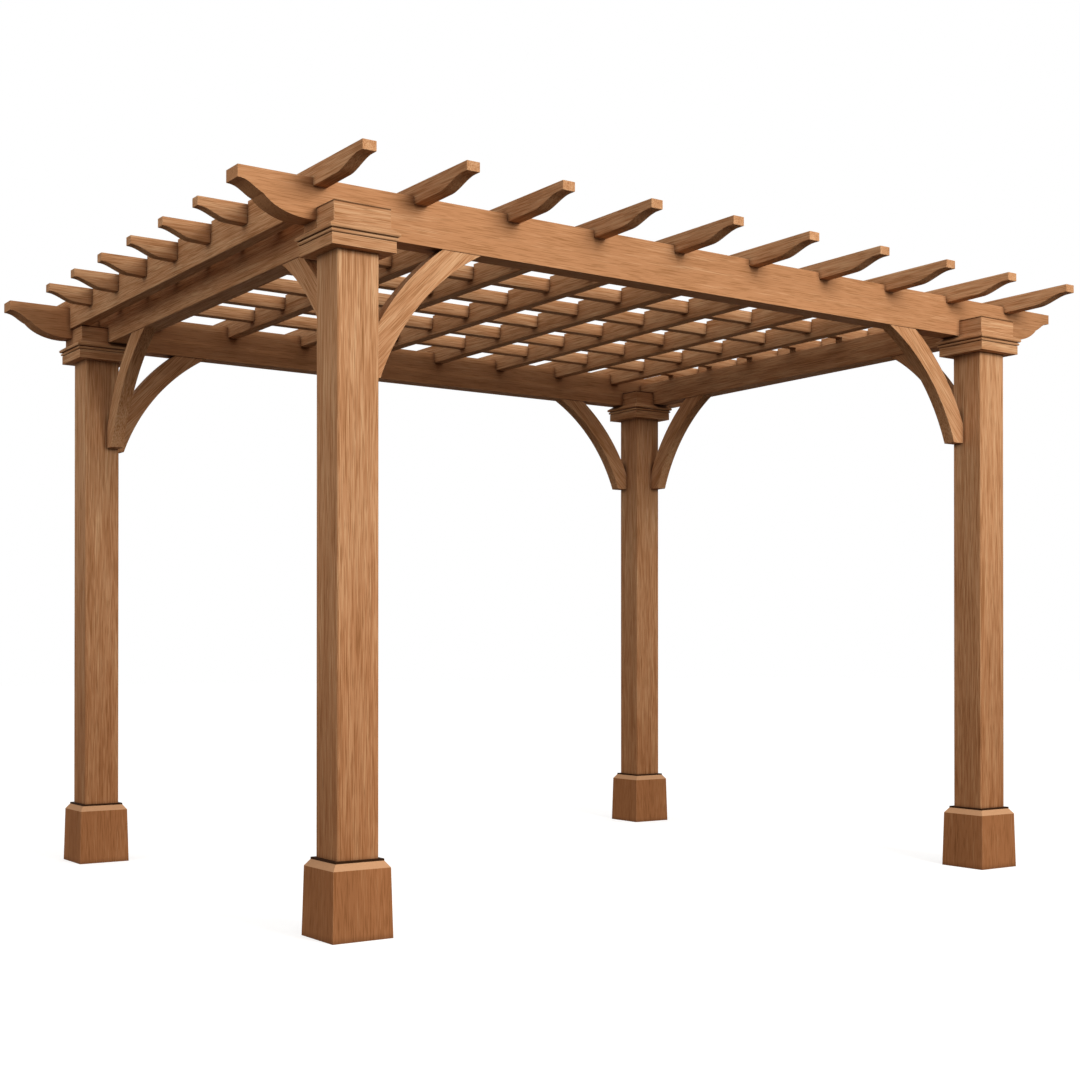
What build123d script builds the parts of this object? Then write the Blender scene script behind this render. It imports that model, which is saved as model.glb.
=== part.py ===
from build123d import *
import os
from math import sqrt

# Wooden garden pergola: four posts, a pair of long beams with scrolled tails, a pair of
# short side beams, curved braces and a roof lattice of rafters and purlins.
# Millimetres, +Z up. The origin is on the ground under the middle of the roof,
# X runs along the front beam to the right and the front looks towards -Y.

os.makedirs("parts", exist_ok=True)

# Posts
POST_WIDTH = 150.0
POST_EDGE = 4.0
POST_SPAN_X = 3080.0
POST_SPAN_Y = 2368.0
SEAT_HEIGHT = 2290.0

# Base trim, a tapered box round the foot of each post with a bevelled top
BASE_FOOT_WIDTH = 219.0
BASE_SHOULDER_WIDTH = 208.0
BASE_TOP_WIDTH = 176.0
BASE_SHOULDER_HEIGHT = 228.0
BASE_BEVEL_RISE = 21.5
STRIP_HEIGHT = 7.0

# Collar under the beams: a flat fascia, a bead and a rounded band that slopes to the block
COLLAR_DEPTH = 78.0
FASCIA_WIDTH = 233.0
FASCIA_HEIGHT = 36.0
BEAD_HEIGHT = 10.0
BEAD_STAND = 5.5
BAND_STAND = 11.0
BAND_HEIGHT = 12.0
QUIRK_DEPTH = 3.0
QUIRK_HEIGHT = 3.0

# Head block on top of each post, notched for the beams
HEAD_WIDTH = 208.0
HEAD_HEIGHT = 66.0
HEAD_EDGE = 2.0

# Long beams, front and back, which run on past the side beams
BEAM_THICKNESS = 88.0
BEAM_HEIGHT = 160.0
BEAM_OVERHANG = 394.0
BEAM_NOSE = 40.0
BEAM_SCROLL_RUN = 88.0
BEAM_SCROLL_DROP = 78.0
BEAM_TAIL_RUN = 273.0
BEAM_TAIL_DROP = 134.0
# Slopes of the two scroll curves, at the cusp between them and at the root
SCROLL_CUSP_SLOPE = 0.35
TAIL_CUSP_SLOPE = 1.1
TAIL_ROOT_SLOPE = 0.1

# Short side beams between the long ones
SIDE_BEAM_HEIGHT = 110.0

# Curved braces
BRACE_THICKNESS = 52.0
BRACE_DEPTH = 88.0
BRACE_REACH = 462.0
BRACE_DROP = 423.0
BRACE_RADIUS = 1550.0

# Rafters, front to back, across the long beams; the edge ones clear the side beams
RAFTER_COUNT = 10
RAFTER_THICKNESS = 50.0
RAFTER_DEPTH = 90.0
EDGE_RAFTER_GAP = 83.0
RAFTER_OVERHANG = 332.0
RAFTER_HOUSING = 27.0

# Purlins, left to right, across the rafters and the side beams; the bay behind the front
# beam is wider than the others
PURLIN_COUNT = 6
PURLIN_THICKNESS = 46.0
FRONT_BAY = 478.0
PURLIN_TAIL = 185.0
PURLIN_ROOT_DEPTH = 75.0

# Tails of rafters and purlins: depth of the nose, the ogee's shoulder as shares of the
# tail's run and rise, and the slope at the nose
TAIL_NOSE = 33.0
TAIL_SHOULDER_RUN = 0.58
TAIL_SHOULDER_RISE = 0.34
TAIL_NOSE_SLOPE = 0.12

# Play between a notch and what lies in it, on each side
NOTCH_PLAY = 0.25

HALF_X = POST_SPAN_X / 2
HALF_Y = POST_SPAN_Y / 2
SIDES_X = {"left": -1, "right": 1}
SIDES_Y = {"front": -1, "back": 1}

# Each beam is let into its head blocks flush with the block's far face, and the roof is
# centred on the beams, so the posts stand this far to the left of and in front of it
BEAM_OFFSET = HEAD_WIDTH / 2 - BEAM_THICKNESS / 2
# Each brace is flush with the far face of its post
BRACE_OFFSET = POST_WIDTH / 2 - BRACE_THICKNESS / 2
ROOF_BOTTOM = SEAT_HEIGHT + SIDE_BEAM_HEIGHT
ROOF_TOP = ROOF_BOTTOM + RAFTER_DEPTH
BEAM_TOP = SEAT_HEIGHT + BEAM_HEIGHT
HOUSING_FLOOR = BEAM_TOP - RAFTER_HOUSING
LAP_HEIGHT = ROOF_BOTTOM + RAFTER_DEPTH / 2
# The two edge rafters are deeper and come down to the top of the head blocks
EDGE_RAFTER_BOTTOM = SEAT_HEIGHT + HEAD_HEIGHT
# Faces and middles of the outermost pieces, to the right of the middle of the roof
SIDE_BEAM_FACE = HALF_X + BEAM_THICKNESS / 2
EDGE_RAFTER = SIDE_BEAM_FACE + EDGE_RAFTER_GAP + RAFTER_THICKNESS / 2
RAFTER_SPACING = 2 * EDGE_RAFTER / (RAFTER_COUNT - 1)
PURLIN_SPACING = (POST_SPAN_Y - FRONT_BAY) / PURLIN_COUNT


def post_centre(side_x, side_y):
    """Middle of one post on the ground."""
    return side_x * HALF_X - BEAM_OFFSET, side_y * HALF_Y - BEAM_OFFSET


def rafter_middle(number):
    """X of a rafter's middle, counted from the left."""
    return number * RAFTER_SPACING - EDGE_RAFTER


def purlin_middle(number):
    """Y of a purlin's middle, counted from the front and spaced from the back beam."""
    return HALF_Y - (PURLIN_COUNT - number) * PURLIN_SPACING


def block(x0, x1, y0, y1, z0, z1):
    """A plain box between two corners."""
    size = Vector(x1 - x0, y1 - y0, z1 - z0)
    middle = Vector(x0 + x1, y0 + y1, z0 + z1) * 0.5
    return Pos(middle) * Box(size.X, size.Y, size.Z)


def save(shape, name):
    """Writes one sub-part."""
    shape.label = name
    export_step(shape, f"parts/{name}.step")


def make_post(x, y):
    """A square post with softened edges, from the ground to the seat of the beams."""
    body = Pos(x, y, SEAT_HEIGHT / 2) * Box(POST_WIDTH, POST_WIDTH, SEAT_HEIGHT)
    return chamfer(body.edges().filter_by(Axis.Z), POST_EDGE)


def tapered_box(low_width, high_width, z0, z1):
    """A square frustum."""
    low = Pos(0, 0, z0) * Rectangle(low_width, low_width)
    high = Pos(0, 0, z1) * Rectangle(high_width, high_width)
    return loft([low.face(), high.face()], ruled=True)


def post_hole(z0, z1):
    """The room that a post takes out of what wraps it."""
    return Pos(0, 0, (z0 + z1) / 2) * Box(POST_WIDTH, POST_WIDTH, z1 - z0)


def make_base_trim(x, y):
    """Four mitred boards round the foot of the post, narrowing upwards, with a bevel on top."""
    top = BASE_SHOULDER_HEIGHT + BASE_BEVEL_RISE
    boards = tapered_box(BASE_FOOT_WIDTH, BASE_SHOULDER_WIDTH, 0, BASE_SHOULDER_HEIGHT)
    bevel = tapered_box(BASE_SHOULDER_WIDTH, BASE_TOP_WIDTH, BASE_SHOULDER_HEIGHT, top)
    return Pos(x, y, 0) * (boards + bevel - post_hole(0, top))


def make_base_strip(x, y):
    """The thin strip that closes the joint between base trim and post."""
    z0 = BASE_SHOULDER_HEIGHT + BASE_BEVEL_RISE
    z1 = z0 + STRIP_HEIGHT
    middle = (z0 + z1) / 2
    strip = Pos(0, 0, middle) * Box(BASE_TOP_WIDTH, BASE_TOP_WIDTH, STRIP_HEIGHT)
    return Pos(x, y, 0) * (strip - post_hole(z0, z1))


def square_turning(outline):
    """Carries a closed outline in the XZ plane once round the post with mitred corners."""
    side = Plane.XZ * make_face(outline)
    reach = FASCIA_WIDTH
    straight = extrude(side, amount=reach, both=True)
    corner = Polygon((0, 0), (reach, -reach), (reach, reach), align=None)
    floor = SEAT_HEIGHT - COLLAR_DEPTH
    wedge = extrude(Pos(0, 0, floor) * corner, amount=COLLAR_DEPTH, dir=(0, 0, 1))
    quarter = straight & wedge
    ring = quarter
    for turn in (90, 180, 270):
        ring += Rot(0, 0, turn) * quarter
    return ring


def make_collar(x, y):
    """Fascia, bead and sloping band round the top of the post, mitred at the corners."""
    z0 = SEAT_HEIGHT - COLLAR_DEPTH
    fascia = FASCIA_WIDTH / 2
    bead_low = z0 + FASCIA_HEIGHT + QUIRK_HEIGHT
    bead_high = bead_low + BEAD_HEIGHT
    band_low = bead_high + QUIRK_HEIGHT
    band_high = band_low + BAND_HEIGHT
    inner = POST_WIDTH / 2
    groove = fascia - QUIRK_DEPTH
    band = fascia + BAND_STAND
    with BuildLine() as outline:
        Polyline(
            (groove, bead_low),
            (groove, z0 + FASCIA_HEIGHT),
            (fascia, z0 + FASCIA_HEIGHT),
            (fascia, z0),
            (inner, z0),
            (inner, SEAT_HEIGHT),
            (HEAD_WIDTH / 2, SEAT_HEIGHT),
            (band - QUIRK_DEPTH, band_high),
        )
        ThreePointArc(
            (band - QUIRK_DEPTH, band_high),
            (band, (band_low + band_high) / 2),
            (band - QUIRK_DEPTH, band_low),
        )
        Polyline((band - QUIRK_DEPTH, band_low), (fascia, band_low), (fascia, bead_high))
        ThreePointArc(
            (fascia, bead_high),
            (fascia + BEAD_STAND, (bead_low + bead_high) / 2),
            (groove, bead_low),
        )
    return Pos(x, y, 0) * square_turning(outline.line)


def make_head_block(side_x, side_y):
    """The block on top of a post, cut away where the beams pass."""
    x, y = post_centre(side_x, side_y)
    half = HEAD_WIDTH / 2
    beam_face = BEAM_OFFSET - BEAM_THICKNESS / 2
    right = half if side_y < 0 else beam_face
    body = block(-half, right, -half, beam_face, SEAT_HEIGHT, SEAT_HEIGHT + HEAD_HEIGHT)
    outer = body.edges().filter_by(Axis.Z).sort_by(Axis.Y)[:2]
    return Pos(x, y, 0) * chamfer(outer, HEAD_EDGE)


def long_beam_outline():
    """Side view of a long beam: a flat top, square noses and a two-stage scroll below."""
    end = SIDE_BEAM_FACE + BEAM_OVERHANG
    root = end - BEAM_TAIL_RUN
    cusp = end - BEAM_SCROLL_RUN
    nose_z = BEAM_TOP - BEAM_NOSE
    cusp_z = BEAM_TOP - BEAM_SCROLL_DROP
    root_z = BEAM_TOP - BEAM_TAIL_DROP
    with BuildLine() as outline:
        Line((0, BEAM_TOP), (end, BEAM_TOP))
        Line((end, BEAM_TOP), (end, nose_z))
        Spline((end, nose_z), (cusp, cusp_z), tangents=((-1, 0), (-1, -SCROLL_CUSP_SLOPE)))
        Spline(
            (cusp, cusp_z),
            (root, root_z),
            tangents=((-1, -TAIL_CUSP_SLOPE), (-1, TAIL_ROOT_SLOPE)),
        )
        Polyline((root, root_z), (root, SEAT_HEIGHT), (0, SEAT_HEIGHT))
        mirror(about=Plane.YZ)
    return outline.line


def make_long_beam(side_y):
    """Long beam with scrolled tails, housed on top for the rafters."""
    y = side_y * HALF_Y
    side = Plane.XZ * make_face(long_beam_outline())
    body = Pos(0, y, 0) * extrude(side, amount=BEAM_THICKNESS / 2, both=True)
    reach = BEAM_THICKNESS
    half = RAFTER_THICKNESS / 2 + NOTCH_PLAY
    for number in range(RAFTER_COUNT):
        x = rafter_middle(number)
        body -= block(x - half, x + half, y - reach, y + reach, HOUSING_FLOOR, ROOF_TOP)
    return body


def make_side_beam(side_x):
    """Short beam between the long ones, let into the back block."""
    x = side_x * HALF_X
    half = BEAM_THICKNESS / 2
    reach = HALF_Y - half
    return block(x - half, x + half, -reach, reach, SEAT_HEIGHT, ROOF_BOTTOM)


def brace_outline():
    """Curved brace seen from the side, with the post face at 0 and the beam above it."""
    top = SEAT_HEIGHT
    foot = top - BRACE_DROP
    chord = sqrt(BRACE_REACH**2 + BRACE_DROP**2)
    rise = sqrt(BRACE_RADIUS**2 - (chord / 2) ** 2)
    cx = BRACE_REACH / 2 + BRACE_DROP / chord * rise
    cz = (top + foot) / 2 - BRACE_REACH / chord * rise
    outer = BRACE_RADIUS + BRACE_DEPTH
    upper_foot = cz + sqrt(outer**2 - cx**2)
    upper_head = cx - sqrt(outer**2 - (top - cz) ** 2)
    with BuildLine() as outline:
        RadiusArc((0, foot), (BRACE_REACH, top), BRACE_RADIUS)
        Line((BRACE_REACH, top), (upper_head, top))
        RadiusArc((upper_head, top), (0, upper_foot), -outer)
        Line((0, upper_foot), (0, foot))
    return outline.line


def make_long_brace(side_x, side_y):
    """Brace from a post to the long beam above it."""
    x, y = post_centre(side_x, side_y)
    face = make_face(brace_outline())
    body = extrude(Plane.XZ * face, amount=BRACE_THICKNESS / 2, both=True)
    if side_x > 0:
        body = mirror(body, about=Plane.YZ)
    return Pos(x - side_x * POST_WIDTH / 2, y + BRACE_OFFSET, 0) * body


def make_side_brace(side_x, side_y):
    """Brace from a post to the side beam above it."""
    x, y = post_centre(side_x, side_y)
    face = make_face(brace_outline())
    body = extrude(Plane.YZ * face, amount=BRACE_THICKNESS / 2, both=True)
    if side_y > 0:
        body = mirror(body, about=Plane.XZ)
    return Pos(x + BRACE_OFFSET, y - side_y * POST_WIDTH / 2, 0) * body


def tail_curve(start, end, root_z, top):
    """Ogee under a tail, from its root to its nose."""
    run = end - start
    nose_z = top - TAIL_NOSE
    rise = nose_z - root_z
    shoulder = (start + run * TAIL_SHOULDER_RUN, root_z + rise * TAIL_SHOULDER_RISE)
    Spline(
        (start, root_z),
        shoulder,
        (end, nose_z),
        tangents=((1, 0), (1, TAIL_NOSE_SLOPE)),
    )


def rafter_outline(bottom):
    """Side view of a rafter, seated over both long beams."""
    inner = HALF_Y - BEAM_THICKNESS / 2
    outer = HALF_Y + BEAM_THICKNESS / 2
    end = outer + RAFTER_OVERHANG
    nose_z = ROOF_TOP - TAIL_NOSE
    with BuildLine() as outline:
        Line((0, ROOF_TOP), (end, ROOF_TOP))
        Line((end, ROOF_TOP), (end, nose_z))
        tail_curve(outer, end, HOUSING_FLOOR, ROOF_TOP)
        Polyline((outer, HOUSING_FLOOR), (inner, HOUSING_FLOOR), (inner, bottom), (0, bottom))
        mirror(about=Plane.YZ)
    return outline.line


def make_rafter(number):
    """Rafter with ogee tails, notched from above for the purlins."""
    x = rafter_middle(number)
    at_edge = number in (0, RAFTER_COUNT - 1)
    bottom = EDGE_RAFTER_BOTTOM if at_edge else ROOF_BOTTOM
    side = Plane.YZ * make_face(rafter_outline(bottom))
    body = Pos(x, 0, 0) * extrude(side, amount=RAFTER_THICKNESS / 2, both=True)
    reach = RAFTER_THICKNESS
    half = PURLIN_THICKNESS / 2 + NOTCH_PLAY
    for row in range(PURLIN_COUNT):
        y = purlin_middle(row)
        body -= block(x - reach, x + reach, y - half, y + half, LAP_HEIGHT, ROOF_TOP + reach)
    return body


def purlin_outline():
    """Side view of a purlin with ogee tails outside the edge rafters."""
    root = EDGE_RAFTER + RAFTER_THICKNESS / 2
    end = root + PURLIN_TAIL
    root_z = ROOF_TOP - PURLIN_ROOT_DEPTH
    nose_z = ROOF_TOP - TAIL_NOSE
    with BuildLine() as outline:
        Line((0, ROOF_TOP), (end, ROOF_TOP))
        Line((end, ROOF_TOP), (end, nose_z))
        tail_curve(root, end, root_z, ROOF_TOP)
        Polyline((root, root_z), (root, ROOF_BOTTOM), (0, ROOF_BOTTOM))
        mirror(about=Plane.YZ)
    return outline.line


def make_purlin(number):
    """Purlin with ogee tails, notched from below over the rafters."""
    y = purlin_middle(number)
    side = Plane.XZ * make_face(purlin_outline())
    body = Pos(0, y, 0) * extrude(side, amount=PURLIN_THICKNESS / 2, both=True)
    reach = PURLIN_THICKNESS
    half = RAFTER_THICKNESS / 2 + NOTCH_PLAY
    for row in range(RAFTER_COUNT):
        x = rafter_middle(row)
        body -= block(x - half, x + half, y - reach, y + reach, ROOF_BOTTOM - reach, LAP_HEIGHT)
    return body


strips = []
for side_y_name, side_y in SIDES_Y.items():
    for side_x_name, side_x in SIDES_X.items():
        corner_name = f"{side_y_name}_{side_x_name}"
        foot_x, foot_y = post_centre(side_x, side_y)
        save(make_post(foot_x, foot_y), f"post_{corner_name}")
        save(make_base_trim(foot_x, foot_y), f"base_trim_{corner_name}")
        save(make_collar(foot_x, foot_y), f"collar_{corner_name}")
        save(make_head_block(side_x, side_y), f"head_block_{corner_name}")
        save(make_long_brace(side_x, side_y), f"long_brace_{corner_name}")
        save(make_side_brace(side_x, side_y), f"side_brace_{corner_name}")
        strips.append(make_base_strip(foot_x, foot_y))

save(Compound(children=strips), "base_strips")
save(make_long_beam(SIDES_Y["front"]), "front_beam")
save(make_long_beam(SIDES_Y["back"]), "back_beam")
save(make_side_beam(SIDES_X["left"]), "left_side_beam")
save(make_side_beam(SIDES_X["right"]), "right_side_beam")
for rafter_number in range(RAFTER_COUNT):
    save(make_rafter(rafter_number), f"rafter_{rafter_number + 1:02d}")
for purlin_number in range(PURLIN_COUNT):
    save(make_purlin(purlin_number), f"purlin_{purlin_number + 1}")
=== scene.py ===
"""Finishes a timber garden pergola: shaped boards, stained softwood, floor, lamps and camera."""

from math import pi, radians

import bpy
import numpy as np
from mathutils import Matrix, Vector


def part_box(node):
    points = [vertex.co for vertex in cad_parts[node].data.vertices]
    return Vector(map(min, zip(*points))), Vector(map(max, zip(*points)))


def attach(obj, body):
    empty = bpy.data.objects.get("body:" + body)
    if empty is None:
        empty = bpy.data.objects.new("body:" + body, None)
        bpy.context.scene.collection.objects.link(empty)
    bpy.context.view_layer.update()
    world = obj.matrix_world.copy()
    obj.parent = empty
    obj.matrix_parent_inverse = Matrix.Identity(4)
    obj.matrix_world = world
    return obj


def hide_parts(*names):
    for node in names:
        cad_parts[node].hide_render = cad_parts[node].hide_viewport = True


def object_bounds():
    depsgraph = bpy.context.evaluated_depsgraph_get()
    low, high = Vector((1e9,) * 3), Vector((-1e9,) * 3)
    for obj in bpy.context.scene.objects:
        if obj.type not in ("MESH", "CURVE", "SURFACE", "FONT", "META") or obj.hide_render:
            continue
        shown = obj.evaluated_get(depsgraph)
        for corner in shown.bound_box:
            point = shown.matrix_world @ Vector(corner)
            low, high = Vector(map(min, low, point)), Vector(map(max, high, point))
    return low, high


bl_info = {
    "name": "Timber Pergola",
    "version": (1, 0, 0),
    "blender": (4, 5, 0),
    "location": "View3D > Sidebar > Pergola",
    "description": "Finishes a timber garden pergola and sets it on a pale studio floor",
    "category": "Object",
}

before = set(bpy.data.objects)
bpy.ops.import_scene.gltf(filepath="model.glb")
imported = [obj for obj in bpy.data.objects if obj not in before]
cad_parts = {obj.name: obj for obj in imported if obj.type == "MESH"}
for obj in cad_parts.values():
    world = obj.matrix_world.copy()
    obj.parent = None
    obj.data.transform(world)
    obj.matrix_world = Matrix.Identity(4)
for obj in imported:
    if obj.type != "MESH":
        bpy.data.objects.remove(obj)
CAD_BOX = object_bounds()
CORNERS = tuple(f"{row}_{side}" for row in ("front", "back") for side in ("left", "right"))

# Way that a board runs, by kind; its outline is seen square to this and to up
WAYS = {"across": (1.0, 0.0, 0.0), "deep": (0.0, 1.0, 0.0)}
UP = (0.0, 0.0, 1.0)

# Turns that bring the grain of a member into line with X, by the way the member runs
GRAIN_TURN = {
    "across": (0.0, 0.0, 0.0),
    "deep": (0.0, 0.0, -pi / 2),
    "upright": (0.0, pi / 2, 0.0),
}

# Points along the S-curve of a tail and along each edge of a brace
TAIL_STEPS = 17
ARC_STEPS = 33
# Edges of a board that turn by more than this are sanded round, in so many facets
ARRIS_TURN = radians(40)
ARRIS_FACETS = 2

# Slow wander of the grain: in waves so many to a metre across it and so much longer along
# it, and by half the reach, in metres, to either side
WANDER_SCALE = 6.0
WANDER_STRETCH = 6.25
WANDER_DETAIL = 1.5
WANDER_REACH = 0.018
# Each pattern's length along the grain in widths, and its detail and roughness
PATTERNS = {
    "board": (6.0, 1.0, 0.5),
    "band": (14.0, 2.0, 0.5),
    "line": (45.0, 2.0, 0.55),
    "pore": (30.0, 1.0, 0.5),
}
# Share of the figure that the broad bands have, with growth lines for the rest
BAND_SHARE = 0.36
# Where the dark, red, main and pale tones stand on the figure
TONE_PLACES = (0.33, 0.44, 0.55, 0.67)

# Each range below holds what a value runs from and to, and what it is turned into there
# Pore noise into the depth of a pore, and board noise into a board's shade
PORE_RANGE = (0.36, 0.46, 1.0, 0.0)
BOARD_RANGE = (0.35, 0.65, 0.92, 1.06)
# Likeness of the rounded to the true normal into an arris, and line noise into its wear;
# the paler arris is partly sanded wear and partly a painted highlight
ARRIS_HIGHLIGHT_RANGE = (0.8, 0.99, 1.0, 0.0)
ARRIS_WEAR_AND_HIGHLIGHT_RANGE = (0.4, 0.6, 0.25, 0.7)
# Openness of a point into the painted shade gathered there, and line noise into roughness
CORNER_SHADE_RANGE = (0.25, 0.85, 0.75, 0.0)
ROUGHNESS_RANGE = (0.35, 0.65, 0.82, 0.68)
# Upward part of the normal, from where a top bevel starts to where it is wholly one
BEVEL_TILT = (0.3, 0.6)
# How strongly pores darken and sink, and how dark the painted shade along a rim is
PORE_SHARE = 0.6
RIM_SHADE_SHARE = 0.85
# Rays that look for an arris to paint as a highlight and for a corner to paint in shade
ARRIS_HIGHLIGHT_RAYS = 4
CORNER_SHADE_RAYS = 8

# An oil stain leaves softwood satin, with grain that stands up by fractions of a millimetre
SOFTWOOD_IOR = 1.48
SOFTWOOD_SPECULAR = 0.04
RELIEF_STRENGTH = 0.5
RELIEF_HEIGHT = 0.0006


def linear(hex_colour):
    """sRGB hex colour as linear red, green, blue and alpha."""
    parts = [int(hex_colour[i:i + 2], 16) / 255 for i in (1, 3, 5)]
    return tuple(c / 12.92 if c <= 0.04045 else ((c + 0.055) / 1.055) ** 2.4 for c in parts) + (1.0,)


def add_node(tree, kind, inputs=(), stops=(), **settings):
    """Adds a shader node and gives its outputs.

    Inputs are values or sockets, in order or else by name or number. Stops are a ramp's
    places and colours."""
    node = tree.nodes.new(kind)
    for key, value in settings.items():
        setattr(node, key, value)
    pairs = inputs.items() if isinstance(inputs, dict) else enumerate(inputs)
    for key, value in pairs:
        if isinstance(value, bpy.types.NodeSocket):
            tree.links.new(value, node.inputs[key])
        else:
            node.inputs[key].default_value = value
    for number, (place, colour) in enumerate(stops):
        ramp = node.color_ramp.elements
        element = ramp[number] if number < len(ramp) else ramp.new(1.0)
        element.position = place
        element.color = colour
    return node.outputs


def grain_noise(tree, place, pattern, width):
    """Noise whose marks are as wide as given, in metres, across the grain and longer along X."""
    stretch, detail, roughness = PATTERNS[pattern]
    shrink = (1.0 / stretch, 1.0, 1.0)
    drawn = add_node(tree, "ShaderNodeVectorMath", (place, shrink), operation="MULTIPLY")[0]
    inputs = {"Vector": drawn, "Scale": 1.0 / width, "Detail": detail, "Roughness": roughness}
    return add_node(tree, "ShaderNodeTexNoise", inputs)["Fac"]


def grain_place(tree, turn, mitred):
    """Object coordinates turned so that the grain runs along X, wandering a little.

    On a mitred trim the sides that face left and right take the grain of a deep member: the
    normal's size along X, less that along Y, is above 0 there."""
    place = add_node(tree, "ShaderNodeTexCoord")["Object"]
    turned = add_node(tree, "ShaderNodeMapping", {"Vector": place, "Rotation": turn})[0]
    if mitred:
        normal = add_node(tree, "ShaderNodeNewGeometry")["Normal"]
        size = add_node(tree, "ShaderNodeVectorMath", (normal,), operation="ABSOLUTE")[0]
        across = (1.0, -1.0, 0.0)
        excess = add_node(tree, "ShaderNodeVectorMath", (size, across), operation="DOT_PRODUCT")["Value"]
        sideways = add_node(tree, "ShaderNodeMath", (excess, 0.0), operation="GREATER_THAN")[0]
        deep = {"Vector": place, "Rotation": GRAIN_TURN["deep"]}
        other = add_node(tree, "ShaderNodeMapping", deep)[0]
        choice = {0: sideways, 4: turned, 5: other}
        turned = add_node(tree, "ShaderNodeMix", choice, data_type="VECTOR")[1]
    shrink = (1.0 / WANDER_STRETCH, 1.0, 1.0)
    drawn = add_node(tree, "ShaderNodeVectorMath", (turned, shrink), operation="MULTIPLY")[0]
    waves = {"Vector": drawn, "Scale": WANDER_SCALE, "Detail": WANDER_DETAIL}
    wander = add_node(tree, "ShaderNodeTexNoise", waves)["Color"]
    # Noise lies round a half, so that is taken off to wander to both sides
    half = (0.5, 0.5, 0.5)
    centred = add_node(tree, "ShaderNodeVectorMath", (wander, half), operation="SUBTRACT")[0]
    reach = (0.0, WANDER_REACH, WANDER_REACH)
    shift = add_node(tree, "ShaderNodeVectorMath", (centred, reach), operation="MULTIPLY")[0]
    return add_node(tree, "ShaderNodeVectorMath", (turned, shift), operation="ADD")[0]


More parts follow.
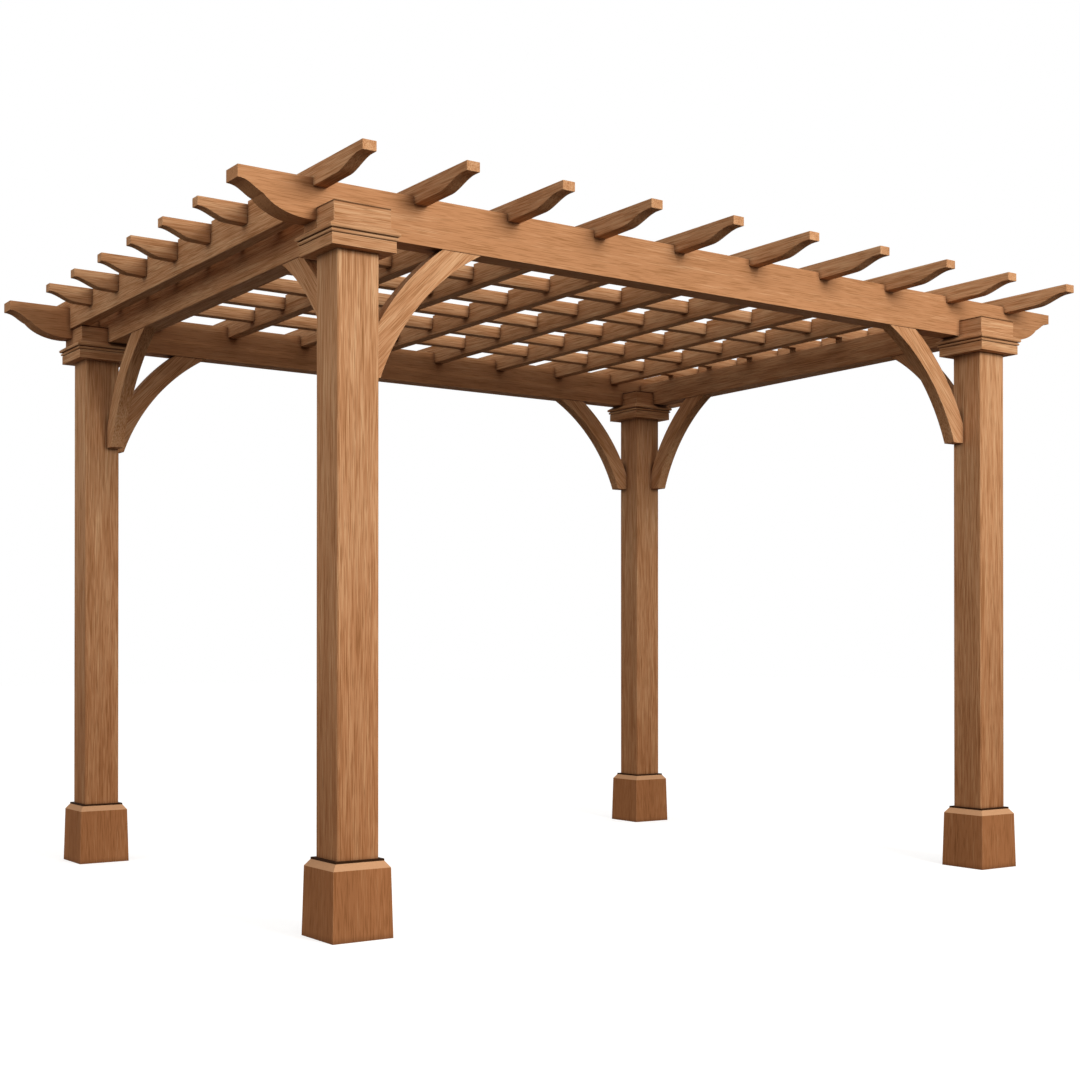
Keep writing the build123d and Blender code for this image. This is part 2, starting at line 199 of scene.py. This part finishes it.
def stained_softwood(name, turn, mitred=False, tones=None, rim=None, worn=0.0):
    """Planed and stained softwood, such as cedar or pine with a brown oil stain.

    To the eye it is satin and warm brown: broad soft bands where the stain took unevenly,
    narrow darker growth lines and short dark pores, all along the member. Arrises are paler,
    partly sanded wear and partly a painted highlight, and painted shade darkens the corners.
    The growth lines are drawn 3.5 mm apart and the pores 3 mm wide, coarser than real ones,
    so that they show at this distance. The colour is redder and darker towards the bottom.
    Above the height of a rim the wood is dark with painted shade, and worn is how much of the
    stain a top bevel has lost. The colours are laid over each other as coats, each with the
    share of it that shows."""
    settings = bpy.context.scene.pergola_finish
    tones = tones or (settings.dark_tone, settings.red_tone, settings.main_tone, settings.pale_tone)
    dark, pale = tones[0], tones[-1]
    material = bpy.data.materials.new(name)
    material.use_nodes = True
    tree = material.node_tree
    place = grain_place(tree, turn, mitred)
    board = grain_noise(tree, place, "board", settings.board_width)
    bands = grain_noise(tree, place, "band", settings.band_width)
    lines = grain_noise(tree, place, "line", settings.line_width)
    pores = grain_noise(tree, place, "pore", settings.pore_width)
    broad = add_node(tree, "ShaderNodeMath", (bands, BAND_SHARE), operation="MULTIPLY")[0]
    fine = add_node(tree, "ShaderNodeMath", (lines, 1.0 - BAND_SHARE), operation="MULTIPLY")[0]
    figure = add_node(tree, "ShaderNodeMath", (broad, fine), operation="ADD")[0]
    colour = add_node(tree, "ShaderNodeValToRGB", (figure,), stops=zip(TONE_PLACES, tones))["Color"]

    depth = add_node(tree, "ShaderNodeMapRange", (pores, *PORE_RANGE))[0]
    sunk = add_node(tree, "ShaderNodeMath", (depth, PORE_SHARE), operation="MULTIPLY")[0]
    shade = add_node(tree, "ShaderNodeMapRange", (board, *BOARD_RANGE))[0]
    object_place = add_node(tree, "ShaderNodeTexCoord")["Object"]
    height = add_node(tree, "ShaderNodeSeparateXYZ", (object_place,))["Z"]
    # The colour turns redder and darker towards the bottom, fading out by the top height
    fading = (height, settings.bottom_tint_full, settings.bottom_tint_top, 1.0, 0.0)
    bottom_tint_share = add_node(tree, "ShaderNodeMapRange", fading)[0]
    coats = [
        ("MIX", sunk, dark),
        ("MULTIPLY", 1.0, shade),
        ("MULTIPLY", bottom_tint_share, settings.bottom_tint),
    ]
    normal = add_node(tree, "ShaderNodeNewGeometry")["Normal"]
    if worn:
        upward = add_node(tree, "ShaderNodeSeparateXYZ", (normal,))["Z"]
        bare = add_node(tree, "ShaderNodeMapRange", (upward, *BEVEL_TILT, 0.0, worn))[0]
        coats.append(("MIX", bare, settings.worn_tone))
    # Painted shade: a dark band along the top of a head block, where the beam above meets it
    if rim:
        rim_shade_band = (height, rim - settings.rim_shade_width, rim - settings.rim_shade_width / 2, 0.0, RIM_SHADE_SHARE)
        rim_shade = add_node(tree, "ShaderNodeMapRange", rim_shade_band)[0]
        coats.append(("MIX", rim_shade, settings.painted_shade_tone))
    # Paler arrises, found from the rounded normal: partly sanded wear, partly a painted highlight
    rounded = add_node(tree, "ShaderNodeBevel", (settings.arris_highlight_width,), samples=ARRIS_HIGHLIGHT_RAYS)[0]
    same = add_node(tree, "ShaderNodeVectorMath", (rounded, normal), operation="DOT_PRODUCT")["Value"]
    edge = add_node(tree, "ShaderNodeMapRange", (same, *ARRIS_HIGHLIGHT_RANGE))[0]
    wear = add_node(tree, "ShaderNodeMapRange", (lines, *ARRIS_WEAR_AND_HIGHLIGHT_RANGE))[0]
    arris = add_node(tree, "ShaderNodeMath", (edge, wear), operation="MULTIPLY")[0]
    coats.append(("MIX", arris, pale))
    # Painted shade: corners and the places between parts, found by occlusion, are darkened
    reach = {"Distance": settings.corner_shade_reach}
    open_air = add_node(tree, "ShaderNodeAmbientOcclusion", reach, samples=CORNER_SHADE_RAYS)["AO"]
    corner_shade = add_node(tree, "ShaderNodeMapRange", (open_air, *CORNER_SHADE_RANGE))[0]
    coats.append(("MIX", corner_shade, settings.painted_shade_tone))
    for blend, share_shown, coat in coats:
        layers = {0: share_shown, 6: colour, 7: coat}
        colour = add_node(tree, "ShaderNodeMix", layers, data_type="RGBA", blend_type=blend)[2]

    roughness = add_node(tree, "ShaderNodeMapRange", (lines, *ROUGHNESS_RANGE))[0]
    relief = add_node(tree, "ShaderNodeMath", (lines, sunk), operation="SUBTRACT")[0]
    raised = {"Strength": RELIEF_STRENGTH, "Distance": RELIEF_HEIGHT, "Height": relief}
    bump = add_node(tree, "ShaderNodeBump", raised)[0]
    shader = tree.nodes["Principled BSDF"].inputs
    tree.links.new(colour, shader["Base Color"])
    tree.links.new(roughness, shader["Roughness"])
    tree.links.new(bump, shader["Normal"])
    shader["IOR"].default_value = SOFTWOOD_IOR
    shader["Specular IOR Level"].default_value = SOFTWOOD_SPECULAR
    return material


def redder_tones():
    """Tones of the members that look redder: the base trims and the long beams."""
    finish = bpy.context.scene.pergola_finish
    return finish.dark_tone, finish.red_tone, finish.red_tone, finish.main_tone


def dress(nodes, material):
    """Gives one material to CAD nodes."""
    for node in nodes:
        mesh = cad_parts[node].data
        mesh.materials.clear()
        mesh.materials.append(material)


def make_board(node, outline, middle, thickness, way, material):
    """A board that stands for one CAD node, from a closed outline run anticlockwise.

    Each point of the outline, u along the way that the board runs and z up, goes to
    middle + u * way + z * up, moved half the thickness to either side of that plane along
    way x up, so every face points outwards. A bevel rounds the sanded arrises."""
    along = np.array(WAYS[way])
    out = np.cross(along, UP)
    side = np.array(middle) + outline[:, :1] * along + outline[:, 1:] * np.array(UP)
    vertices = np.vstack((side - out * thickness / 2, side + out * thickness / 2))
    count = len(outline)
    first = np.arange(count)
    after = np.roll(first, -1)
    edge = np.column_stack((first, after, after + count, first + count))
    faces = [first[::-1].tolist(), (first + count).tolist()] + edge.tolist()
    mesh = bpy.data.meshes.new(f"{node}_board")
    mesh.from_pydata(vertices.tolist(), [], faces)
    mesh.materials.append(material)
    piece = bpy.data.objects.new(f"{node}_board", mesh)
    bpy.context.scene.collection.objects.link(piece)
    arris = piece.modifiers.new("sanded_arris", "BEVEL")
    arris.width = bpy.context.scene.pergola_timber.arris
    arris.segments = ARRIS_FACETS
    arris.limit_method = "ANGLE"
    arris.angle_limit = ARRIS_TURN
    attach(piece, "root")
    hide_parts(node)


def notched_edge(start, end, level, floor, middles, half):
    """A level edge from start to end with a square notch to the floor at each middle."""
    places = np.column_stack((middles - half, middles - half, middles + half, middles + half)).ravel()
    heights = np.tile((level, floor, floor, level), len(middles))
    return np.column_stack((np.r_[start, places, end], np.r_[level, heights, level]))


def tail_edge(start, end, root, nose, belly_share, neck_share):
    """Underside of a tail from root to nose: a nearly straight belly, an S-curve whose rise
    goes as 3 t^2 - 2 t^3, and a flat neck. Belly and neck are shares of the tail's run."""
    belly = start + (end - start) * belly_share
    neck = end - (end - start) * neck_share
    low = root + bpy.context.scene.pergola_timber.belly_rise
    t = np.linspace(0.0, 1.0, TAIL_STEPS)
    run = belly + (neck - belly) * t
    height = low + (nose - low) * t * t * (3.0 - 2.0 * t)
    return np.column_stack((np.r_[start, run, end], np.r_[root, height, nose]))


def mirrored(edge):
    """The same edge on the other side of the middle, still run from left to right."""
    return edge[::-1] * (-1.0, 1.0)


def rafter_outline(bottom, end, beam_inner, beam_outer, purlin_places):
    """Side view of a rafter: housed over both beams and notched on top for the purlins. The
    bottom is its underside between the beams' inner faces."""
    timber = bpy.context.scene.pergola_timber
    top = timber.roof_top
    seat = timber.beam_top - timber.rafter_housing
    shares = (timber.rafter_belly, timber.rafter_neck)
    tail = tail_edge(beam_outer, end, seat, top - timber.tail_nose, *shares)
    step = np.array(((beam_inner, bottom), (beam_inner, seat)))
    low = np.vstack((mirrored(tail), mirrored(step), step, tail))
    lap = timber.purlin_bottom + timber.purlin_depth / 2
    half = timber.purlin_width / 2 + timber.notch_play
    high = notched_edge(-end, end, top, lap, purlin_places, half)
    return np.vstack((low, high[::-1]))


def purlin_outline(end, rafter_places, beam_face):
    """Side view of a purlin: full depth over the side beams and in its tails, thinner between
    the inner faces of the side beams, and notched below over the rafters. The tails start at
    the outer sides of the first and last notches, where their edges share a corner."""
    timber = bpy.context.scene.pergola_timber
    bottom = timber.purlin_bottom
    top = bottom + timber.purlin_depth
    half = timber.rafter_width / 2 + timber.notch_play
    root = rafter_places[-1] + half
    shares = (timber.purlin_belly, timber.purlin_neck)
    tail = tail_edge(root, end, bottom, top - timber.tail_nose, *shares)
    lap = bottom + timber.purlin_depth / 2
    middle = notched_edge(-root, root, bottom, lap, rafter_places, half)[1:-1]
    thin = bottom + timber.purlin_relief
    between = np.abs(middle[:, 0]) < beam_face
    middle[:, 1] = np.where(between & (middle[:, 1] < lap), thin, middle[:, 1])
    cut = np.array(((beam_face, thin), (beam_face, bottom)))
    inner = middle[between]
    left = middle[middle[:, 0] < -beam_face]
    right = middle[middle[:, 0] > beam_face]
    low = np.vstack((mirrored(tail)[:-1], left, mirrored(cut), inner, cut, right, tail[1:]))
    return np.vstack((low, ((end, top), (-end, top))))


def brace_outline(side):
    """Side view of a curved brace, from the post's face at 0 up to the beam's underside.

    The lower edge is an arc from the outer corner of the blunt foot to the head. Its middle
    is on the open side, square to the chord from halfway along it. The upper edge is the arc
    round the same middle one depth further out, cut by the post and by the beam."""
    timber = bpy.context.scene.pergola_timber
    foot, reach, drop = timber.brace_foot, timber.brace_reach, timber.brace_drop
    radius = timber.brace_radius
    outer = radius + timber.brace_depth
    chord = np.hypot(reach - foot, drop)
    rise = np.sqrt(radius**2 - (chord / 2) ** 2)
    across = (foot + reach) / 2 + drop / chord * rise
    down = -drop / 2 - (reach - foot) / chord * rise
    at_foot = np.arctan2(-drop - down, foot - across)
    at_head = np.arctan2(-down, reach - across)
    at_beam = pi - np.arcsin(-down / outer)
    at_post = np.arccos(-across / outer)
    angles = np.r_[np.linspace(at_foot, at_head, ARC_STEPS), np.linspace(at_beam, at_post, ARC_STEPS)]
    radii = np.repeat((radius, outer), ARC_STEPS)
    outline = np.column_stack((across + radii * np.cos(angles), down + radii * np.sin(angles)))
    outline = np.vstack((outline, (0.0, -drop)))
    return outline if side < 0 else mirrored(outline)


def chord_turn(way, side):
    """Turn that lays a brace's chord along X. The chord rises to the right or to the back
    from a post on the left or at the front, where side is -1, and the other way where it is 1."""
    timber = bpy.context.scene.pergola_timber
    slope = -side * np.arctan2(timber.brace_drop, timber.brace_reach)
    return (0.0, slope, 0.0) if way == "across" else (-slope, 0.0, -pi / 2)


def length(name, description, default):
    """A length in metres that the panel shows with its unit."""
    return bpy.props.FloatProperty(name=name, description=description, default=default, unit="LENGTH")


def share(name, description, default):
    """A share from 0 to 1."""
    return bpy.props.FloatProperty(
        name=name, description=description, default=default, min=0.0, max=1.0, subtype="FACTOR"
    )


def tone(name, description, default):
    """A colour, written as sRGB hex, that the panel shows as a swatch."""
    return bpy.props.FloatVectorProperty(
        name=name, description=description, default=linear(default), min=0.0, max=1.0, subtype="COLOR", size=4
    )


def point(name, description, default):
    """A point in the frame, in metres."""
    return bpy.props.FloatVectorProperty(
        name=name, description=description, default=default, subtype="TRANSLATION", size=3
    )


class PergolaTimber(bpy.types.PropertyGroup):
    """Sizes of the boards that are shaped here, and of what they rest on."""

    roof_top: length("Roof Top", "Top of the rafters", CAD_BOX[1][2])
    beam_top: length("Beam Top", "Top of the long beams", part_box("front_beam")[1].z)
    rafter_width: length("Rafter Width", "Thickness of a rafter", 0.050)
    rafter_housing: length("Rafter Housing", "Depth that a rafter is let into a beam", 0.027)
    purlin_bottom: length("Purlin Underside", "Height of the purlins and top of the side beams", 2.410)
    purlin_depth: length("Purlin Depth", "Depth of a purlin", 0.070)
    purlin_relief: length("Purlin Relief", "What a purlin lacks in depth between the beams", 0.018)
    purlin_width: length("Purlin Width", "Thickness of a purlin", 0.046)
    notch_play: length("Notch Play", "Play on each side of a notch", 0.00025)
    tail_nose: length("Tail Nose", "Depth of the nose of a tail", 0.033)
    belly_rise: length("Belly Rise", "Rise of a tail's nearly straight belly", 0.003)
    rafter_belly: share("Rafter Belly", "Belly as a share of a rafter's tail", 0.48)
    rafter_neck: share("Rafter Neck", "Neck as a share of a rafter's tail", 0.08)
    purlin_belly: share("Purlin Belly", "Belly as a share of a purlin's tail", 0.36)
    purlin_neck: share("Purlin Neck", "Neck as a share of a purlin's tail", 0.02)
    brace_foot: length("Brace Foot", "Width of a brace's blunt foot", 0.058)
    brace_reach: length("Brace Reach", "Reach of a brace along its beam", 0.455)
    brace_drop: length("Brace Drop", "Drop of a brace down its post", 0.462)
    brace_radius: length("Brace Radius", "Radius of a brace's lower edge", 0.850)
    brace_depth: length("Brace Depth", "Depth of a brace, square to its edge", 0.084)
    brace_width: length("Brace Width", "Thickness of a brace", 0.056)
    arris: length("Arris", "Rounding of a board's edges", 0.002)


class PergolaFinish(bpy.types.PropertyGroup):
    """Colours and grain sizes of the stained timber."""

    main_tone: tone("Main Tone", "Stained wood", "#bf916a")
    pale_tone: tone("Pale Tone", "Where the stain took least", "#cba37b")
    red_tone: tone("Red Tone", "Redder bands", "#b07e57")
    dark_tone: tone("Dark Tone", "Growth lines and pores", "#90633e")
    painted_shade_tone: tone("Corner Tone", "Stain gathered in corners", "#3a2012")
    # Dark tone of the painted shade in corners and along the tops of the head blocks
    strip_tone: tone("Strip Tone", "Dark strips above the base trims", "#3a2616")
    # Tint that turns the colour redder and darker towards the bottom
    bottom_tint: tone("Splash Tone", "Shade of the stain near the ground", "#e0d0c2")
    worn_tone: tone("Worn Tone", "Top bevels that have lost stain", "#cfa37d")
    bottom_tint_full: length("Splash Start", "Up to where the stain is wholly redder", 0.2)
    bottom_tint_top: length("Splash Height", "Where the redder stain has faded out", 2.0)
    # Width of the painted shade along the top of a head block
    rim_shade_width: length("Rim Width", "Dark joint along the top of a head block", 0.007)
    board_width: length("Board Width", "Slow changes of tone from board to board", 0.260)
    band_width: length("Band Width", "Broad bands of stain", 0.028)
    line_width: length("Line Spacing", "Spacing of growth lines", 0.0035)
    pore_width: length("Pore Width", "Width of pores", 0.003)
    # Paler arris: partly sanded wear, partly a painted highlight
    arris_highlight_width: length("Arris Width", "Sanded edge of each member", 0.003)
    # Reach of the painted shade in corners
    corner_shade_reach: length("Corner Reach", "How far stain gathers from a corner", 0.035)
    base_wear: share("Base Wear", "Stain that the top bevels of the base trims have lost", 0.6)


class PergolaStage(bpy.types.PropertyGroup):
    """Camera, lamps and floor."""

    camera_place: point("Camera Place", "Where the camera stands", (-4.0661, -5.8877, 0.9162))
    camera_turn: bpy.props.FloatProperty(
        name="Camera Turn", description="From straight back towards the right", default=0.6074,
        subtype="ANGLE", unit="ROTATION"
    )
    camera_tilt: bpy.props.FloatProperty(
        name="Camera Tilt", description="Upward tilt", default=0.0049, subtype="ANGLE", unit="ROTATION"
    )
    camera_lens: bpy.props.FloatProperty(
        name="Lens", description="Focal length in mm", default=53.6, unit="CAMERA"
    )
    camera_frame: bpy.props.FloatProperty(
        name="Frame", description="Width of the camera's frame in mm", default=36.0, unit="CAMERA"
    )
    camera_shift: bpy.props.FloatProperty(
        name="Shift", description="Upward shift in frame widths", default=0.0984
    )
    camera_reach: length("Camera Reach", "How far the camera sees", 200.0)
    key_place: point("Key Place", "Middle of the key lamp", (0.0, -7.5, 3.5))
    key_power: bpy.props.FloatProperty(
        name="Key Power", description="Power of the key lamp", default=410.0, unit="POWER"
    )
    key_width: length("Key Width", "Side of the key lamp", 2.0)
    side_place: point("Side Place", "Middle of the weak lamp on the left", (-7.5, -1.0, 2.6))
    side_power: bpy.props.FloatProperty(
        name="Side Power", description="Power of the lamp on the left", default=62.0, unit="POWER"
    )
    side_width: length("Side Width", "Side of the lamp on the left", 3.0)
    aim_height: length("Aim Height", "Height that both lamps point at", 1.6)
    lamp_tone: tone("Lamp Tone", "Colour of both lamps", "#fffcf8")
    sky_tone: tone("Fill Tone", "Colour of the even light", "#fffdfa")
    sky_strength: bpy.props.FloatProperty(
        name="Fill Strength", description="Even light from all round", default=0.78
    )
    backdrop_tone: tone("Backdrop Tone", "White that shows behind the pergola", "#ffffff")
    floor_width: length("Floor Width", "Side of the floor", 80.0)
    floor_tone: tone("Floor Tone", "Floor as the camera sees it, with the shadow on it", "#b8b8b8")
    floor_glow: share("Floor Glow", "What is added to the seen floor to bring it to white", 0.67)
    floor_dull_tone: tone("Dull Floor Tone", "Floor as it throws light up at the timber", "#463c34")


class PERGOLA_OT_posts(bpy.types.Operator):
    """Finish the four posts, with the grain upright"""

    bl_idname = "pergola.posts"
    bl_label = "Posts"

    def execute(self, context):
        wood = stained_softwood("stained_softwood_upright", GRAIN_TURN["upright"])
        dress([f"post_{corner}" for corner in CORNERS], wood)
        return {"FINISHED"}


class PERGOLA_OT_trims(bpy.types.Operator):
    """Finish the base trims, strips, collars and head blocks"""

    bl_idname = "pergola.trims"
    bl_label = "Trims"

    def execute(self, context):
        finish = context.scene.pergola_finish
        wear = finish.base_wear
        upright = GRAIN_TURN["upright"]
        base = stained_softwood("stained_softwood_base", upright, tones=redder_tones(), worn=wear)
        dress([f"base_trim_{corner}" for corner in CORNERS], base)
        strip_tones = (finish.strip_tone,) * len(TONE_PLACES)
        # The base strips are coloured plain dark
        strip = stained_softwood("dark_strip", GRAIN_TURN["across"], True, strip_tones)
        dress(["base_strips"], strip)
        moulding = stained_softwood("stained_softwood_moulding", GRAIN_TURN["across"], True)
        dress([f"collar_{corner}" for corner in CORNERS], moulding)
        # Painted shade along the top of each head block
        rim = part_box("head_block_front_left")[1].z
        block = stained_softwood("stained_softwood_block", GRAIN_TURN["across"], True, rim=rim)
        dress([f"head_block_{corner}" for corner in CORNERS], block)
        return {"FINISHED"}


class PERGOLA_OT_beams(bpy.types.Operator):
    """Finish the long beams and make the side beams, with the grain along each"""

    bl_idname = "pergola.beams"
    bl_label = "Beams"

    def execute(self, context):
        across = GRAIN_TURN["across"]
        long_wood = stained_softwood("stained_softwood_long_beam", across, tones=redder_tones())
        dress(["front_beam", "back_beam"], long_wood)
        side_wood = stained_softwood("stained_softwood_side_beam", GRAIN_TURN["deep"])
        top = context.scene.pergola_timber.purlin_bottom
        for node in ("left_side_beam", "right_side_beam"):
            low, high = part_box(node)
            outline = np.array(((low.y, low.z), (high.y, low.z), (high.y, top), (low.y, top)))
            middle = ((low.x + high.x) / 2, 0.0, 0.0)
            make_board(node, outline, middle, high.x - low.x, "deep", side_wood)
        return {"FINISHED"}


class PERGOLA_OT_braces(bpy.types.Operator):
    """Shape and finish the curved braces, with the grain along each chord"""

    bl_idname = "pergola.braces"
    bl_label = "Braces"

    def execute(self, context):
        width = context.scene.pergola_timber.brace_width
        for kind, way, ends in (("long", "across", ("left", "right")), ("side", "deep", ("front", "back"))):
            for end, side in zip(ends, (-1, 1)):
                wood = stained_softwood(f"stained_softwood_{kind}_brace_{end}", chord_turn(way, side))
                outline = brace_outline(side)
                for node in [f"{kind}_brace_{corner}" for corner in CORNERS if end in corner]:
                    low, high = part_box(node)
                    post = low if side < 0 else high
                    if way == "across":
                        middle = (post.x, high.y - width / 2, high.z)
                    else:
                        middle = (high.x - width / 2, post.y, high.z)
                    make_board(node, outline, middle, width, way, wood)
        return {"FINISHED"}


class PERGOLA_OT_lattice(bpy.types.Operator):
    """Shape and finish the rafters and purlins of the roof, with the grain along each"""

    bl_idname = "pergola.lattice"
    bl_label = "Roof Lattice"

    def execute(self, context):
        timber = context.scene.pergola_timber
        rafters = sorted(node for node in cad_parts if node.startswith("rafter_"))
        purlins = sorted(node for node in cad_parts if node.startswith("purlin_"))
        rafter_places = np.array([sum(corner.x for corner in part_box(node)) / 2 for node in rafters])
        purlin_places = np.array([sum(corner.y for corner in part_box(node)) / 2 for node in purlins])
        beam_low, beam_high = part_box("back_beam")
        wood = stained_softwood("stained_softwood_rafter", GRAIN_TURN["deep"])
        for node, x in zip(rafters, rafter_places):
            low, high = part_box(node)
            outline = rafter_outline(low.z, high.y, beam_low.y, beam_high.y, purlin_places)
            make_board(node, outline, (x, 0.0, 0.0), timber.rafter_width, "deep", wood)
        wood = stained_softwood("stained_softwood_purlin", GRAIN_TURN["across"])
        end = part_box(purlins[0])[1].x
        outline = purlin_outline(end, rafter_places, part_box("right_side_beam")[0].x)
        for node, y in zip(purlins, purlin_places):
            make_board(node, outline, (0.0, y, 0.0), timber.purlin_width, "across", wood)
        return {"FINISHED"}


def seen_directly(tree):
    """1 where the camera, a reflection or a view through glass looks, and 0 for other light."""
    rays = add_node(tree, "ShaderNodeLightPath")
    shown = rays["Is Camera Ray"]
    for other in ("Is Glossy Ray", "Is Transmission Ray"):
        shown = add_node(tree, "ShaderNodeMath", (shown, rays[other]), operation="MAXIMUM")[0]
    return shown


def floor_material(stage):
    """Matt white studio floor. It shows white to the camera and keeps the shadow; for light
    that it would throw back up at the timber it is dull, so the undersides stay dark."""
    material = bpy.data.materials.new("matt_white_studio_floor")
    material.use_nodes = True
    tree = material.node_tree
    tree.nodes.clear()
    seen = add_node(tree, "ShaderNodeBsdfDiffuse", {"Color": stage.floor_tone})[0]
    light = {"Color": stage.backdrop_tone, "Strength": stage.floor_glow}
    glow = add_node(tree, "ShaderNodeEmission", light)[0]
    pale = add_node(tree, "ShaderNodeAddShader", (seen, glow))[0]
    dull = add_node(tree, "ShaderNodeBsdfDiffuse", {"Color": stage.floor_dull_tone})[0]
    mix = add_node(tree, "ShaderNodeMixShader", (seen_directly(tree), dull, pale))[0]
    add_node(tree, "ShaderNodeOutputMaterial", {"Surface": mix})
    return material


def make_floor(stage):
    """A square floor on the ground: corners at plus and minus half its width."""
    half = stage.floor_width / 2
    corners = half * np.array(((-1, -1, 0), (1, -1, 0), (1, 1, 0), (-1, 1, 0)))
    mesh = bpy.data.meshes.new("studio_floor")
    mesh.from_pydata(corners.tolist(), [], [(0, 1, 2, 3)])
    floor = bpy.data.objects.new("studio_floor", mesh)
    bpy.context.scene.collection.objects.link(floor)
    mesh.materials.append(floor_material(stage))


def make_sky(stage):
    """Even light, white where the camera or a reflection sees it."""
    world = bpy.data.worlds.new("studio_light")
    bpy.context.scene.world = world
    world.use_nodes = True
    tree = world.node_tree
    tree.nodes.clear()
    light = {"Color": stage.sky_tone, "Strength": stage.sky_strength}
    fill = add_node(tree, "ShaderNodeBackground", light)[0]
    white = add_node(tree, "ShaderNodeBackground", {"Color": stage.backdrop_tone})[0]
    mix = add_node(tree, "ShaderNodeMixShader", (seen_directly(tree), fill, white))[0]
    add_node(tree, "ShaderNodeOutputWorld", {"Surface": mix})


def make_lamp(name, middle, width, power, stage):
    """A square soft lamp that points at the middle of the pergola, at the stage's height."""
    lamp = bpy.data.lights.new(name, "AREA")
    lamp.energy = power
    lamp.size = width
    lamp.color = stage.lamp_tone[:3]
    holder = bpy.data.objects.new(name, lamp)
    holder.location = middle
    back = Vector(middle) - Vector((0.0, 0.0, stage.aim_height))
    holder.rotation_euler = back.to_track_quat("Z", "Y").to_euler()
    holder.visible_camera = False
    bpy.context.scene.collection.objects.link(holder)


def make_camera(stage):
    """Camera at the photograph's place, level but for a small tilt."""
    lens = bpy.data.cameras.new("camera")
    lens.lens = stage.camera_lens
    lens.sensor_width = stage.camera_frame
    lens.shift_y = stage.camera_shift
    lens.clip_end = stage.camera_reach
    camera = bpy.data.objects.new("camera", lens)
    camera.location = stage.camera_place
    camera.rotation_euler = (pi / 2 + stage.camera_tilt, 0.0, -stage.camera_turn)
    bpy.context.scene.collection.objects.link(camera)
    bpy.context.scene.camera = camera


class PERGOLA_OT_stage(bpy.types.Operator):
    """Set up the floor, the lamps, the white backdrop and the camera"""

    bl_idname = "pergola.stage"
    bl_label = "Stage"

    def execute(self, context):
        stage = context.scene.pergola_stage
        make_floor(stage)
        make_sky(stage)
        make_lamp("key_lamp", stage.key_place, stage.key_width, stage.key_power, stage)
        make_lamp("side_lamp", stage.side_place, stage.side_width, stage.side_power, stage)
        make_camera(stage)
        context.scene.view_settings.view_transform = "Standard"
        return {"FINISHED"}


class PERGOLA_PT_panel(bpy.types.Panel):
    """The pergola's sizes, colours and pieces"""

    bl_idname = "PERGOLA_PT_panel"
    bl_label = "Pergola"
    bl_space_type = "VIEW_3D"
    bl_region_type = "UI"
    bl_category = "Pergola"

    def draw(self, context):
        scene = context.scene
        for group in (scene.pergola_timber, scene.pergola_finish, scene.pergola_stage):
            box = self.layout.box()
            for name in group.__annotations__:
                box.prop(group, name)
        for operator in OPERATORS:
            self.layout.operator(operator.bl_idname)


OPERATORS = (
    PERGOLA_OT_posts,
    PERGOLA_OT_trims,
    PERGOLA_OT_beams,
    PERGOLA_OT_braces,
    PERGOLA_OT_lattice,
    PERGOLA_OT_stage,
)
CLASSES = (PergolaTimber, PergolaFinish, PergolaStage) + OPERATORS + (PERGOLA_PT_panel,)


def register():
    for item in CLASSES:
        bpy.utils.register_class(item)
    bpy.types.Scene.pergola_timber = bpy.props.PointerProperty(type=PergolaTimber)
    bpy.types.Scene.pergola_finish = bpy.props.PointerProperty(type=PergolaFinish)
    bpy.types.Scene.pergola_stage = bpy.props.PointerProperty(type=PergolaStage)


def unregister():
    del bpy.types.Scene.pergola_stage
    del bpy.types.Scene.pergola_finish
    del bpy.types.Scene.pergola_timber
    for item in reversed(CLASSES):
        bpy.utils.unregister_class(item)


def main():
    """Builds everything in order."""
    register()
    bpy.ops.pergola.posts()
    bpy.ops.pergola.trims()
    bpy.ops.pergola.beams()
    bpy.ops.pergola.braces()
    bpy.ops.pergola.lattice()
    bpy.ops.pergola.stage()


if __name__ == "__main__":
    main()
